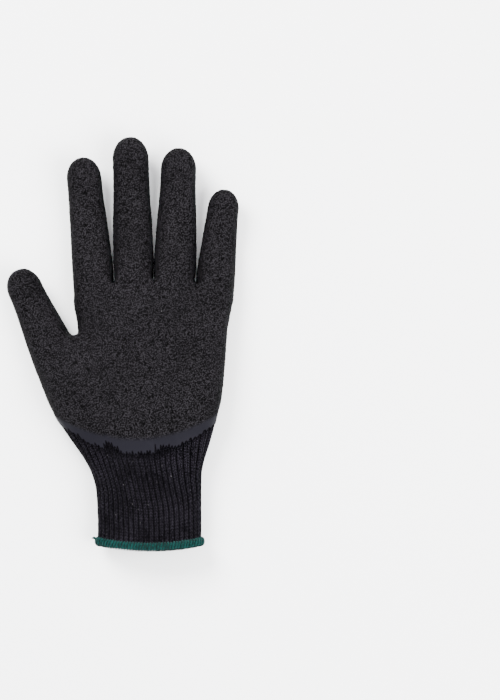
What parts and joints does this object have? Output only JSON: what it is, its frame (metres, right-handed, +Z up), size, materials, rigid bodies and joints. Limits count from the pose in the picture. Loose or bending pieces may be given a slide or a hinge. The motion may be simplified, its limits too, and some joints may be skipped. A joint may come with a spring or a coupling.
{
  "type": "latex coated grip glove",
  "caption": "Left-hand knitted work glove lying palm up, with a crinkled latex palm and finger tips, a ribbed cuff and an overlocked hem.",
  "frame": {"origin": "middle of the glove's outline seen from above, on the surface that its back rests on", "axes": "+Y from the cuff to the finger tips, +Z up out of the palm, -X towards the thumb"},
  "size_m": [0.1396, 0.2484, 0.0323],
  "materials": {
    "knit_yarn": "fine black seamless knit, ribbed on the cuff",
    "latex": "black latex, crinkled on the palm and smooth along its edges",
    "overlock_yarn": "green overlock yarn wrapped round the rim of the cuff"
  },
  "bodies": {
    "root": {"knit_liner": "knit_yarn", "latex_coating": "latex", "cuff_hem": "overlock_yarn"}
  },
  "joints": []
}
